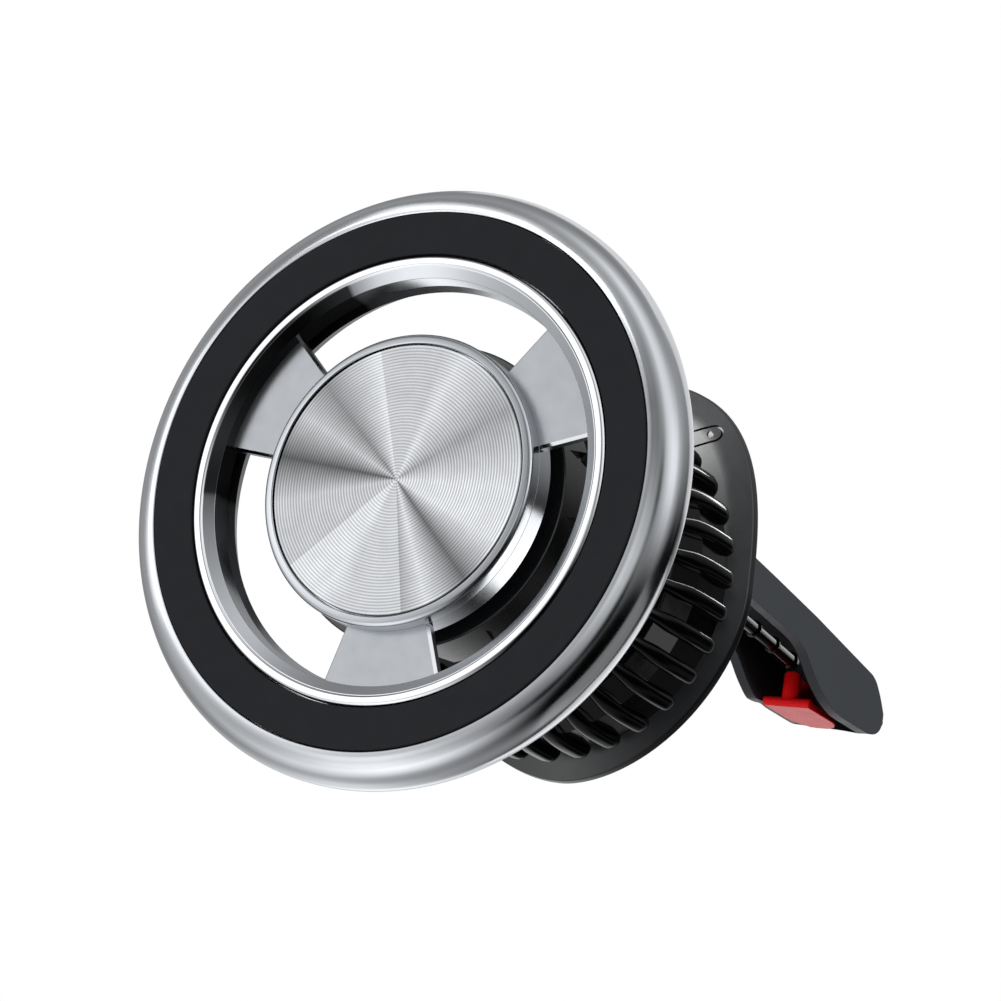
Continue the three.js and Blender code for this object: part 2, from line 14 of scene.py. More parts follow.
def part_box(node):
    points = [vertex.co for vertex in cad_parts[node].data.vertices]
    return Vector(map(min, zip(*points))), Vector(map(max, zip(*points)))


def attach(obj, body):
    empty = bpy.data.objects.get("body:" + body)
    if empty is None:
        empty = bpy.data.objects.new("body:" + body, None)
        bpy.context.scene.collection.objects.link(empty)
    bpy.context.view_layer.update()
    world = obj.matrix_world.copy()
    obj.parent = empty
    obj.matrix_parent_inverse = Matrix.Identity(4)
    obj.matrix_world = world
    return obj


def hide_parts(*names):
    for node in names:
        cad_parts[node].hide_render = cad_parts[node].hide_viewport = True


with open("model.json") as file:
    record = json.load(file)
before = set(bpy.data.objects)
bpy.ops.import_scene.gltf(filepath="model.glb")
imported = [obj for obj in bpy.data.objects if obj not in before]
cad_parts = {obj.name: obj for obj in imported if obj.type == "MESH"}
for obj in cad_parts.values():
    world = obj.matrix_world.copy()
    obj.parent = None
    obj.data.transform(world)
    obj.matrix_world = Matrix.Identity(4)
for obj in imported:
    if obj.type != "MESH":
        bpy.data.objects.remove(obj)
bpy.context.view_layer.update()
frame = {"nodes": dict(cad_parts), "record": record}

MM = 0.001
PAD_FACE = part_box("silicone_pad")[0].y / MM
PAD_OUTER_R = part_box("silicone_pad")[1].x / MM
RIM_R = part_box("head_frame")[1].x / MM
KNOB_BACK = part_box("clamp_knob")[1].y / MM - PAD_FACE
KNOB_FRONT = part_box("clamp_knob")[0].y / MM - PAD_FACE
PLATE_LOW, PLATE_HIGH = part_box("base_plate")
PLATE_HALF_WIDTH = PLATE_HIGH.x / MM
PLATE_TOP = PLATE_HIGH.z / MM
PLATE_BOTTOM = -PLATE_LOW.z / MM
PLATE_TOP_SQUARENESS = 2.87
PLATE_BOTTOM_SQUARENESS = 1.8
ARM_HALF_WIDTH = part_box("hook_arm")[1].x / MM
ROUND = 256
GROOVE_PITCH = 0.323
RIM_INNER_R = 28.1
RIM_BAND_WIDTH = 3.15
BALL_DEPTH = 11.5
BALL_R = 7.5
NECK_R = 5.0
NECK_BACK = 20.6
LOCK_NUT_R = 15.9
LOCK_NUT_NOTCHES = 14
FIRST_NOTCH = 17.5
FIN_COUNT = 32
CORE_R = 18.3
MARK_CENTRE = (11.2, 16.1)
MARK_TURN = 19
MARK_HALF_LENGTH = 2.4
MARK_R = 0.78
MARK_GROOVE = 0.24
ROD_R = 0.78


# ---- materials ----
FINISHES = {}


def link(tree, source, target):
    tree.links.new(source, target)


def noise(tree, scale, detail=3.0):
    """A noise in the object's own coordinates; scale is in cycles per millimetre."""
    coordinates = tree.nodes.new("ShaderNodeTexCoord")
    texture = tree.nodes.new("ShaderNodeTexNoise")
    texture.inputs["Scale"].default_value = scale / MM
    texture.inputs["Detail"].default_value = detail
    texture.inputs["Roughness"].default_value = 0.55
    link(tree, coordinates.outputs["Object"], texture.inputs["Vector"])
    return texture.outputs["Fac"]


def spread(tree, value, low, high, start=0.3, end=0.7):
    """Map a value from start..end onto low..high, held at both ends."""
    node = tree.nodes.new("ShaderNodeMapRange")
    node.inputs["From Min"].default_value = start
    node.inputs["From Max"].default_value = end
    node.inputs["To Min"].default_value = low
    node.inputs["To Max"].default_value = high
    link(tree, value, node.inputs["Value"])
    return node.outputs["Result"]


def two_tone(tree, value, first, second):
    node = tree.nodes.new("ShaderNodeMix")
    node.data_type = "RGBA"
    node.inputs["A"].default_value = (*first, 1)
    node.inputs["B"].default_value = (*second, 1)
    link(tree, value, node.inputs["Factor"])
    return node.outputs["Result"]


def shade(colour, factor):
    return tuple(min(1.0, c * factor) for c in colour)


def material(name, colour, roughness, metallic=0.0, variation=0.05, rough_spread=0.06,
             grain=4.0, grain_depth=0.002, specular=0.5, anisotropic=0.0):
    """A surface with a cloudy tint, uneven gloss and a fine grain of grain_depth millimetres."""
    made = bpy.data.materials.new(name)
    made.use_nodes = True
    tree = made.node_tree
    shader = tree.nodes["Principled BSDF"]
    shader.inputs["Metallic"].default_value = metallic
    shader.inputs["Specular IOR Level"].default_value = specular
    shader.inputs["Anisotropic"].default_value = anisotropic
    cloud = spread(tree, noise(tree, 0.12), 0.0, 1.0)
    tint = two_tone(tree, cloud, shade(colour, 1 - variation), shade(colour, 1 + variation))
    link(tree, tint, shader.inputs["Base Color"])
    fine = noise(tree, grain, detail=4.0)
    gloss = spread(tree, noise(tree, 0.5), roughness - rough_spread, roughness + rough_spread)
    link(tree, gloss, shader.inputs["Roughness"])
    bump = tree.nodes.new("ShaderNodeBump")
    bump.inputs["Distance"].default_value = grain_depth * MM
    bump.inputs["Strength"].default_value = 1.0
    link(tree, fine, bump.inputs["Height"])
    link(tree, bump.outputs["Normal"], shader.inputs["Normal"])
    FINISHES[name] = made
    return made


def axis_coordinates(tree):
    """Distance from the clamp axis in millimetres and the angle around it in turns, as node outputs."""
    coordinates = tree.nodes.new("ShaderNodeTexCoord")
    parts = tree.nodes.new("ShaderNodeSeparateXYZ")
    link(tree, coordinates.outputs["Object"], parts.inputs["Vector"])
    x = parts.outputs["X"]
    z = parts.outputs["Z"]
    square = math_node(tree, "ADD", math_node(tree, "MULTIPLY", x, x), math_node(tree, "MULTIPLY", z, z))
    radius = math_node(tree, "DIVIDE", math_node(tree, "SQRT", square), MM)
    turns = math_node(tree, "DIVIDE", math_node(tree, "ARCTAN2", z, x), 2 * math.pi)
    return radius, math_node(tree, "FRACT", math_node(tree, "ADD", turns, 1.0))


def math_node(tree, operation, first, second=None):
    node = tree.nodes.new("ShaderNodeMath")
    node.operation = operation
    for socket, value in zip(node.inputs, (first, second)):
        if value is None:
            continue
        if isinstance(value, (int, float)):
            socket.default_value = value
        else:
            link(tree, value, socket)
    return node.outputs["Value"]


# painted sheen of a spun face: cone-shaped highlights and dark streaks painted into its colour, with its
# angles in degrees from +X
PAINTED_SHEEN_STREAKS = [(30, 36, 0.50), (133, 26, 0.35), (168, 28, 0.15), (311, 20, 0.20)]    # angle, reach, tone
PAINTED_SHEEN_EDGES = [(105, 0.78, 1.0), (218, 0.76, 1.0), (280, 0.82, 0.52)]    # angle, tone before, tone after
EDGE_FLAT = 30
EDGE_RUN = 40
EDGE_RECOVERY = 13


def painted_spun_sheen(tree, turns):
    """Painted sheen: the darkest of the soft painted streaks and of the painted flats that end in a sharp
    edge.
    """
    def degrees_past(angle, way):
        ahead = math_node(tree, "MULTIPLY", math_node(tree, "SUBTRACT", turns, angle / 360), way)
        return math_node(tree, "MULTIPLY", math_node(tree, "FRACT", math_node(tree, "ADD", ahead, 1.0)), 360)

    shades = []
    for angle, reach, dark in PAINTED_SHEEN_STREAKS:
        away = math_node(tree, "PINGPONG", degrees_past(angle, 1), 180)
        shades.append(spread(tree, away, dark, 1.0, 0, reach))
    for angle, before, after in PAINTED_SHEEN_EDGES:
        shades.append(spread(tree, degrees_past(angle, -1), before, 1.0, EDGE_FLAT, EDGE_RUN))
        shades.append(spread(tree, degrees_past(angle, 1), after, 1.0, 0, EDGE_RECOVERY))
    tone = shades[0]
    for other in shades[1:]:
        tone = math_node(tree, "MINIMUM", tone, other)
    return tone


def tone_ramp(tree, position, stops, span):
    """Grey ramp of (position, tone) stops that covers 0 to span."""
    node = tree.nodes.new("ShaderNodeValToRGB")
    ramp = node.color_ramp
    while len(ramp.elements) < len(stops):
        ramp.elements.new(1.0)
    for element, (place, tone) in zip(ramp.elements, stops):
        element.position = place / span
        element.color = (tone, tone, tone, 1)
    link(tree, position, node.inputs["Fac"])
    return node.outputs["Color"]


def tone_down(tree, tone):
    """Multiply a material's base colour by a tone."""
    shader = tree.nodes["Principled BSDF"]
    toned = tree.nodes.new("ShaderNodeMix")
    toned.data_type = "RGBA"
    toned.blend_type = "MULTIPLY"
    toned.inputs["Factor"].default_value = 1.0
    link(tree, shader.inputs["Base Color"].links[0].from_socket, toned.inputs["A"])
    link(tree, tone, toned.inputs["B"])
    link(tree, toned.outputs["Result"], shader.inputs["Base Color"])


def spun_material(name, colour, roughness, groove_pitch, groove_tone):
    """Lathe-turned metal: a cone-shaped sheen painted around the axis and a darker line in every groove."""
    made = material(name, colour, roughness, 1.0, 0.02, 0.02, 6.0, 0.0002, anisotropic=0.5)
    tree = made.node_tree
    radius, turns = axis_coordinates(tree)
    painted_sheen = painted_spun_sheen(tree, turns)
    wave = math_node(tree, "COSINE", math_node(tree, "MULTIPLY", radius, 2 * math.pi / groove_pitch))
    line = spread(tree, wave, groove_tone, 1.0, -1.0, 0.6)
    tone_down(tree, math_node(tree, "MULTIPLY", painted_sheen, line))
    tangent = tree.nodes.new("ShaderNodeTangent")
    tangent.direction_type = "RADIAL"
    tangent.axis = "Y"
    link(tree, tangent.outputs["Tangent"], tree.nodes["Principled BSDF"].inputs["Tangent"])
    return made


# painted reflection bands on the rim, soft light and dark rings of sheen in its colour: millimetres out from
# its inner edge, tone
RIM_PAINTED_REFLECTION_BANDS = [(0.0, 1.0), (0.45, 1.0), (1.05, 0.74), (1.75, 0.94), (2.45, 0.66), (2.9, 0.92), (3.15, 0.8)]


def painted_band_material(name, colour, roughness):
    """Satin metal with painted reflection bands: its tone changes softly from band to band around the clamp
    axis.
    """
    made = material(name, colour, roughness, 1.0, 0.015, 0.015, 8.0, 0.0001)
    tree = made.node_tree
    radius, _ = axis_coordinates(tree)
    across = math_node(tree, "DIVIDE", math_node(tree, "SUBTRACT", radius, RIM_INNER_R), RIM_BAND_WIDTH)
    tone_down(tree, tone_ramp(tree, across, RIM_PAINTED_REFLECTION_BANDS, RIM_BAND_WIDTH))
    return made


# painted dark reflection on the window wall, its upper left between two sharp edges: angle from +X in
# degrees, tone
WALL_PAINTED_REFLECTION = [
    (0, 1.0), (104, 1.0), (111, 0.65), (112, 0.06), (150, 0.08), (182, 0.12), (183, 0.70), (225, 1.0),
    (360, 1.0),
]


def painted_reflection_wall_material(name, colour, roughness):
    """Satin metal with one dark sector of reflection painted into its colour around the clamp axis."""
    made = material(name, colour, roughness, 1.0, 0.015, 0.015, 8.0, 0.0001)
    tree = made.node_tree
    _, turns = axis_coordinates(tree)
    tone_down(tree, tone_ramp(tree, turns, WALL_PAINTED_REFLECTION, 360))
    return made


# name, colour, roughness, metallic, variation, roughness spread, grain per millimetre, grain depth
SATIN_ALUMINIUM = material("satin_aluminium", (0.66, 0.68, 0.71), 0.17, 1.0, 0.015, 0.015, 8.0, 0.0001)
# the window wall's finish has a painted dark reflection in its colour
WINDOW_ALUMINIUM = painted_reflection_wall_material("window_aluminium", (0.72, 0.74, 0.77), 0.17)
# the rim's finish has painted reflection bands in its colour
RIM_ALUMINIUM = painted_band_material("banded_aluminium", (0.84, 0.86, 0.89), 0.18)
SPOKE_ALUMINIUM = material("blasted_aluminium", (0.60, 0.615, 0.64), 0.40, 1.0, 0.01, 0.02, 14.0, 0.0003)
WALL_ALUMINIUM = material("milled_aluminium", (0.30, 0.32, 0.35), 0.38, 1.0, 0.02, 0.03, 10.0, 0.0003)
POLISHED_ALUMINIUM = material("polished_aluminium", (0.84, 0.85, 0.87), 0.10, 1.0, 0.01, 0.01, 6.0, 0.00004)
# the spun disc's finish has a painted cone-shaped sheen in its colour
SPUN_ALUMINIUM = spun_material("spun_aluminium", (0.86, 0.87, 0.89), 0.28, GROOVE_PITCH, 0.62)
SILICONE = material("silicone", (0.031, 0.032, 0.038), 0.62, 0.0, 0.03, 0.04, 10.0, 0.002, specular=0.25)
GLOSS_BLACK = material("gloss_black", (0.004, 0.0042, 0.005), 0.16, 0.0, 0.08, 0.03, 5.0, 0.0002,
                       specular=0.3)
SATIN_BLACK = material("satin_black", (0.012, 0.013, 0.015), 0.32, 0.0, 0.06, 0.04, 9.0, 0.0008)
PLATE_BLACK = material("plate_black", (0.013, 0.014, 0.016), 0.34, 0.0, 0.05, 0.03, 9.0, 0.0005, specular=1.0)
MATT_GREY = material("matt_grey", (0.050, 0.055, 0.063), 0.44, 0.0, 0.04, 0.04, 9.0, 0.002, specular=0.3)
NUT_BLACK = material("nut_black", (0.012, 0.013, 0.015), 0.26, 0.0, 0.05, 0.03, 9.0, 0.0005, specular=1.0)
RUBBER = material("rubber", (0.012, 0.012, 0.013), 0.75, 0.0, 0.1, 0.08, 5.0, 0.01)
RED_PLASTIC = material("red_plastic", (0.86, 0.008, 0.010), 0.26, 0.0, 0.03, 0.04, 8.0, 0.0008, specular=0.1)
STEEL = material("steel", (0.42, 0.43, 0.45), 0.32, 1.0, 0.06, 0.08, 6.0, 0.001)
BALL_STEEL = material("ball_steel", (0.55, 0.56, 0.58), 0.16, 1.0, 0.03, 0.04, 6.0, 0.0004)
# these finish only CAD nodes, by their material slot
material("magnet_nickel", (0.52, 0.50, 0.46), 0.24, 1.0, 0.05, 0.05, 5.0, 0.0006)
material("brass", (0.62, 0.42, 0.16), 0.3, 1.0, 0.05, 0.06, 6.0, 0.001)
material("nylon", (0.62, 0.60, 0.54), 0.5, 0.0, 0.03, 0.05, 5.0, 0.003)

FLOOR_PAINT = material("studio_floor", (0.80, 0.80, 0.81), 0.65, 0.0, 0.01, 0.04, 0.5, 0.01)


def dress_cad_nodes():
    """Give every CAD node the procedural finish that is named after its material slot."""
    for subpart in frame["record"]["subparts"]:
        data = frame["nodes"][subpart["node"]].data
        data.materials.clear()
        data.materials.append(FINISHES[subpart["material_slot"]])


# ---- mesh helpers ----
def in_metres(x, depth, z):
    return Vector((x, PAD_FACE + depth, z)) * MM


def rounded(corners, steps=6, closed=True):
    """Outline with each (a, b, fillet) corner replaced by an arc of that fillet."""
    outline = []
    count = len(corners)
    for i, (a, b, fillet) in enumerate(corners):
        here = Vector((a, b))
        ends_line = not closed and i in (0, count - 1)
        if fillet <= 0 or ends_line:
            outline.append(here)
            continue
        before = Vector(corners[i - 1][:2]) - here
        after = Vector(corners[(i + 1) % count][:2]) - here
        half = before.angle(after) / 2
        reach = min(fillet / math.tan(half), 0.49 * before.length, 0.49 * after.length)
        radius = reach * math.tan(half)
        centre = here + (before.normalized() + after.normalized()).normalized() * (radius / math.sin(half))
        start = here + before.normalized() * reach - centre
        end = here + after.normalized() * reach - centre
        turn = start.angle_signed(end)
        for step in range(steps + 1):
            angle = turn * step / steps
            outline.append(centre + Matrix.Rotation(-angle, 2) @ start)
    return outline


def curve_through(points, steps=5):
    """Smooth curve through (radius, depth) points, without the last one."""
    knots = [Vector(p) for p in (points[0], *points, points[-1])]
    made = []
    for before, start, end, after in zip(knots, knots[1:], knots[2:], knots[3:]):
        for k in range(steps):
            t = k / steps
            bend = 2 * before - 5 * start + 4 * end - after
            twist = 3 * start - before - 3 * end + after
            made.append((2 * start + (end - before) * t + bend * t ** 2 + twist * t ** 3) / 2)
    return made


def piece(name, mesh_data, finish, body, replaced, sharp=32, weighted=True):
    """Turn a bmesh into a finished object that rides a body and stands for CAD nodes."""
    bmesh.ops.remove_doubles(mesh_data, verts=mesh_data.verts, dist=1e-8)
    bmesh.ops.recalc_face_normals(mesh_data, faces=mesh_data.faces)
    mesh = bpy.data.meshes.new(name)
    mesh_data.to_mesh(mesh)
    mesh_data.free()
    mesh.materials.append(finish)
    mesh.shade_smooth()
    mesh.set_sharp_from_angle(angle=math.radians(sharp))
    made = bpy.data.objects.new(name, mesh)
    bpy.context.scene.collection.objects.link(made)
    if weighted:
        modifier = made.modifiers.new("even_normals", "WEIGHTED_NORMAL")
        modifier.keep_sharp = True
    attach(made, body)
    if replaced:
        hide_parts(*replaced)
    return made


def add_turned(mesh_data, outline, segments=ROUND, closed=True):
    """Turn an outline of (radius, depth) points around the clamp axis."""
    rings = []
    for k in range(segments):
        angle = 2 * math.pi * k / segments
        ca = math.cos(angle)
        sa = math.sin(angle)
        rings.append([mesh_data.verts.new(in_metres(p[0] * ca, p[1], p[0] * sa)) for p in outline])
    count = len(outline)
    last = count if closed else count - 1
    for k in range(segments):
        a = rings[k]
        b = rings[(k + 1) % segments]
        for i in range(last):
            j = (i + 1) % count
            if outline[i][0] == 0 and outline[j][0] == 0:
                continue
            mesh_data.faces.new((a[i], a[j], b[j], b[i]))


def turned(name, corners, finish, body, replaced, segments=ROUND, steps=6, closed=True):
    mesh_data = bmesh.new()
    add_turned(mesh_data, rounded(corners, steps, closed), segments, closed)
    return piece(name, mesh_data, finish, body, replaced)


def loft(mesh_data, sections, wrap=True, cap=True):
    """Skin a list of equally long vertex loops."""
    loops = [[mesh_data.verts.new(p) for p in section] for section in sections]
    count = len(loops[0])
    for a, b in zip(loops, loops[1:]):
        for i in range(count if wrap else count - 1):
            j = (i + 1) % count
            mesh_data.faces.new((a[i], a[j], b[j], b[i]))
    if cap:
        mesh_data.faces.new(loops[0])
        mesh_data.faces.new(reversed(loops[-1]))


# ---- ring head ----
def ring_rim():
    """Rounded rim, pad recess, and the outer half of the magnet channel behind it."""
    front = rounded([
        (22.42, 0.42, 0.02), (23.38, 0.42, 0.02), (23.38, 1.3, 0.05), (28.1, 1.3, 0.05), (28.1, 0.16, 0),
    ], 5, closed=False)
    rim = curve_through([
        (28.18, 0.10), (28.8, 0.24), (29.9, 0.75), (30.8, 1.7), (RIM_R - 0.01, 3.0), (31.0, 4.5), (30.2, 5.8),
        (29.3, 6.45),
    ], 7)
    back = rounded([(29.2, 6.5, 0), (28.9, 6.5, 0.05), (28.9, 2.1, 0.05), (22.42, 2.1, 0)], 5, closed=False)
    mesh_data = bmesh.new()
    add_turned(mesh_data, front + rim + back)
    piece("head_ring", mesh_data, RIM_ALUMINIUM, "head", ["head_frame"], weighted=False)


def window_wall():
    """Conical wall around the open middle of the ring."""
    turned("head_window_wall", [
        (20.9, 4.2, 0), (21.2, 3.0, 0.2), (21.25, 0.75, 0.08), (22.3, 0.16, 0.05), (22.42, 0.16, 0.02),
        (22.42, 2.1, 0), (22.9, 2.1, 0.05), (22.9, 6.5, 0.05), (22.0, 6.5, 0.4), (21.0, 4.4, 0),
    ], WINDOW_ALUMINIUM, "head", ["head_frame"], steps=5)


def polished_bead():
    """Thin mirror-bright lip inside the pad."""
    turned("head_inner_bead", [
        (22.38, 0.16, 0.05), (22.55, 0.0, 0.2), (23.2, 0.0, 0.25), (23.42, 0.2, 0.05), (23.42, 0.4, 0.02),
        (22.38, 0.4, 0.02),
    ], POLISHED_ALUMINIUM, "head", [], steps=5)


def spoke(index, centre_angle, span=36.0, inner=14.6, outer=21.4, front=2.0, thickness=1.35, bevel=0.28):
    """Flat plate between the hub and the ring, with bright bevelled sides."""
    mesh_data = bmesh.new()
    steps = 24
    corners = []
    for k in range(steps + 1):
        angle = math.radians(centre_angle - span / 2 + span * k / steps)
        corners.append((outer * math.cos(angle), outer * math.sin(angle)))
    for k in range(steps, -1, -1):
        angle = math.radians(centre_angle - span / 2 + span * k / steps)
        corners.append((inner * math.cos(angle), inner * math.sin(angle)))
    front_face = mesh_data.faces.new([mesh_data.verts.new(in_metres(x, front, z)) for x, z in corners])
    grown = bmesh.ops.extrude_face_region(mesh_data, geom=[front_face])
    moved = [v for v in grown["geom"] if isinstance(v, bmesh.types.BMVert)]
    bmesh.ops.translate(mesh_data, verts=moved, vec=Vector((0, thickness * MM, 0)))
    bmesh.ops.recalc_face_normals(mesh_data, faces=mesh_data.faces)
    radial = [e for e in mesh_data.edges if is_radial_edge(e)]
    bmesh.ops.bevel(mesh_data, geom=radial, offset=bevel * MM, segments=1, affect="EDGES", profile=0.5)
    name = f"head_spoke_{index}"
    made = piece(name, mesh_data, SPOKE_ALUMINIUM, "head", ["head_frame"], 20)
    made.data.materials.append(POLISHED_ALUMINIUM)
    made.data.materials.append(WALL_ALUMINIUM)
    side_below = 0.3
    flat_above = 0.98
    for polygon in made.data.polygons:
        facing = abs(polygon.normal.y)
        if facing < side_below:
            polygon.material_index = 2
        elif facing < flat_above:
            polygon.material_index = 1


def is_radial_edge(edge):
    """True for an edge that runs straight out from the clamp axis."""
    along = edge.verts[1].co - edge.verts[0].co
    if along.length < 3 * MM:
        return False
    return abs(along.normalized().y) < 0.1


def hub_shell():
    turned("hub_shell", [
        (0, 2.0, 0), (15.28, 2.0, 0.03), (15.28, 4.4, 0.12), (13.7, 4.4, 0.1), (13.7, 3.4, 0.1), (0, 3.4, 0),
    ], SATIN_ALUMINIUM, "head", ["head_frame"], closed=False)


def hub_bezel():
    turned("hub_bezel_ring", [
        (14.25, 1.25, 0.05), (14.25, 0.30, 0.04), (14.36, 0.22, 0.06), (15.28, 0.34, 0.85),
        (15.28, 1.97, 0.03), (8.0, 1.97, 0), (8.0, 1.3, 0),
    ], SATIN_ALUMINIUM, "head", ["hub_bezel"], steps=12)


def groove_depth(radius, pitch, depth):
    return depth * (0.5 - 0.5 * math.cos(2 * math.pi * radius / pitch))


def hub_disc():
    """Spun disc: real concentric grooves and a flat rim land."""
    edge = 14.1
    land = 13.75
    pitch = GROOVE_PITCH
    depth = 0.008
    front = 0.34
    per_groove = 8
    outline = [Vector((0, front))]
    count = int(land / pitch * per_groove)
    for i in range(1, count + 1):
        radius = i * pitch / per_groove
        outline.append(Vector((radius, front + groove_depth(radius, pitch, depth))))
    outline += [Vector((land + 0.05, front)), Vector((edge - 0.08, front)), Vector((edge, front + 0.08))]
    outline += [Vector((edge, 1.1)), Vector((0, 1.1))]
    mesh_data = bmesh.new()
    add_turned(mesh_data, outline, ROUND, closed=False)
    piece("hub_spun_disc", mesh_data, SPUN_ALUMINIUM, "head", ["hub_disc"], weighted=False)


def silicone_pad():
    """Flat annulus that the phone rests on."""
    inner = 23.6
    outer = PAD_OUTER_R - 0.02
    turned("silicone_pad_face", [
        (inner, 1.0, 0.05), (inner, 0.0, 0.18), (outer, 0.0, 0.18), (outer, 1.0, 0.05),
    ], SILICONE, "head", ["silicone_pad"])


def back_cover():
    turned("ring_rear_cover", [
        (23.2, 5.6, 0.05), (28.6, 5.6, 0.05), (28.6, 6.2, 0.15), (27.9, 6.4, 0.3), (26.0, 6.1, 0.8),
        (24.0, 6.4, 0.3), (23.2, 6.2, 0.15),
    ], SATIN_BLACK, "head", ["ring_back_cover"])


# ---- socket, lock nut, ball, stem ----
def socket_cup(cavity_r=9.15, deepest=-50, mouth=18.5, steps=14):
    """Black cup behind the hub plate, hollowed to a sphere around the ball, with a tapered mouth."""
    outline = []
    for i in range(steps + 1):
        angle = math.radians(mouth + (deepest - mouth) * i / steps)
        outline.append((cavity_r * math.cos(angle), BALL_DEPTH + cavity_r * math.sin(angle), 0))
    outline += [(outline[-1][0], 3.8, 0.1), (13.4, 3.8, 0.1), (13.4, 5.7, 0.2)]
    outline += [(12.2, 5.7, 0.2), (12.2, 11.2, 0.4), (9.9, 14.4, 0.3)]
    turned("socket_cup_shell", outline, SATIN_BLACK, "head", ["socket_cup"])


def notch_wedges():
    """Wedges that cut the lock nut's V-shaped notches; their points face the front."""
    point = 7.6
    wide = 14.0
    half_width = 1.6
    floor_r = LOCK_NUT_R - 1.4
    mesh_data = bmesh.new()
    for k in range(LOCK_NUT_NOTCHES):
        angle = math.radians(FIRST_NOTCH + 360 * k / LOCK_NUT_NOTCHES)
        out = Vector((math.cos(angle), 0, math.sin(angle)))
        side = Vector((-math.sin(angle), 0, math.cos(angle)))
        ends = []
        for radius in (floor_r, LOCK_NUT_R + 2):
            corners = ((point, 0), (wide, half_width), (wide, -half_width))
            ends.append([mesh_data.verts.new((out * radius + side * w + Vector((0, PAD_FACE + d, 0))) * MM)
                         for d, w in corners])
        inner, outer = ends
        mesh_data.faces.new(inner)
        mesh_data.faces.new(reversed(outer))
        for i in range(3):
            j = (i + 1) % 3
            mesh_data.faces.new((inner[j], inner[i], outer[i], outer[j]))
    return loose_object("notch_wedges", mesh_data)


def lock_nut():
    """Black grip ring with V-shaped notches open to the back."""
    mesh_data = bmesh.new()
    outline = rounded([
        (12.6, 6.3, 0.1), (LOCK_NUT_R, 6.3, 0.2), (LOCK_NUT_R, 12.0, 0.3), (14.8, 13.0, 0.3),
        (10.6, 14.6, 0.1), (10.3, 14.6, 0.1), (12.6, 11.3, 0.2),
    ], 4)
    add_turned(mesh_data, outline)
    nut = loose_object("nut_blank", mesh_data)
    cut_away(nut, notch_wedges())
    piece("ball_lock_nut_grip", taken_mesh(nut), NUT_BLACK, "lock_nut", ["ball_lock_nut"], 28)


def taken_mesh(made):
    """The object's mesh as a bmesh; the object itself is removed."""
    mesh_data = bmesh.new()
    mesh_data.from_mesh(made.data)
    bpy.data.objects.remove(made)
    return mesh_data


def ball():
    """Ball on a short neck, bored from behind for the stem."""
    bore_r = 4.3
    bore_front = 13.0
    last = math.pi - math.asin(NECK_R / BALL_R)
    steps = 40
    outline = [Vector((0, BALL_DEPTH - BALL_R))]
    for i in range(1, steps + 1):
        angle = last * i / steps
        outline.append(Vector((BALL_R * math.sin(angle), BALL_DEPTH - BALL_R * math.cos(angle))))
    outline += rounded([
        (NECK_R, 18.0, 0), (NECK_R, NECK_BACK, 0.3), (bore_r, NECK_BACK, 0.1), (bore_r, bore_front, 0),
    ], 4, closed=False)
    outline.append(Vector((0, bore_front)))
    mesh_data = bmesh.new()
    add_turned(mesh_data, outline, 96, closed=False)
    piece("ball_stud", mesh_data, BALL_STEEL, "hook", ["ball"])


def stem():
    """Two-start screw on the clamp axis, with two flats where it passes through the bush."""
    low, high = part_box("threaded_stem")
    front = low.y / MM
    back = high.y / MM
    stem_r = high.x / MM
    flat = 3.2
    flats_start = -8.1
    lead = 4.0
    starts = 2
    thread_depth = 0.45
    around = 64
    per_lead = 24
    count = int((back - front) / lead * per_lead)
    sections = []
    for i in range(count + 1):
        y = front + (back - front) * i / count
        near_end = min(y - front, back - y)
        section = []
        for k in range(around):
            angle = 2 * math.pi * k / around
            phase = (starts * (y / lead - angle / (2 * math.pi))) % 1.0
            ridge = min(1.0, 2.4 * min(phase, 1 - phase))
            radius = stem_r - thread_depth * (1 - ridge) - 0.5 * max(0.0, 0.6 - near_end)
            x = radius * math.cos(angle)
            z = radius * math.sin(angle)
            if y > flats_start:
                x = max(-flat, min(flat, x))
            section.append(Vector((x, y, z)) * MM)
        sections.append(section)
    mesh_data = bmesh.new()
    loft(mesh_data, sections)
    piece("threaded_stem_screw", mesh_data, STEEL, "hook", ["threaded_stem"], 35, weighted=False)


# ---- clamp knob ----
def fin_radius(s):
    """Outer edge of a fin, s millimetres in front of the knob's back: a squared-off ellipse."""
    bulge_at = 3.5
    reach = 11.4
    root = 9.0
    crest = 19.4
    squareness = 2.6
    along = min(1.0, abs((s - bulge_at) / reach))
    return root + (crest - root) * (1 - along ** squareness) ** (1 / squareness)


def knob_core():
    """Middle of the knob with one flat panel between each two fins."""
    back = KNOB_BACK - 0.2
    outline = rounded([
        (4.5, KNOB_FRONT, 0.1), (10.6, KNOB_FRONT, 0.3), (15.0, 26.9, 0.6), (17.2, 28.1, 0.45),
        (CORE_R, 32.2, 0.05), (CORE_R - 0.2, back, 0.15), (9.0, back, 0.1), (9.0, 38.0, 0.1),
        (10.8, 37.8, 0.1), (10.8, 35.6, 0.1), (4.5, 35.6, 0.1),
    ], 4)
    mesh_data = bmesh.new()
    add_turned(mesh_data, outline, FIN_COUNT)
    piece("clamp_knob_core", mesh_data, GLOSS_BLACK, "knob", ["clamp_knob"], 5, weighted=False)


def fin_name(index):
    return f"clamp_knob_fin_{index + 1:02d}"


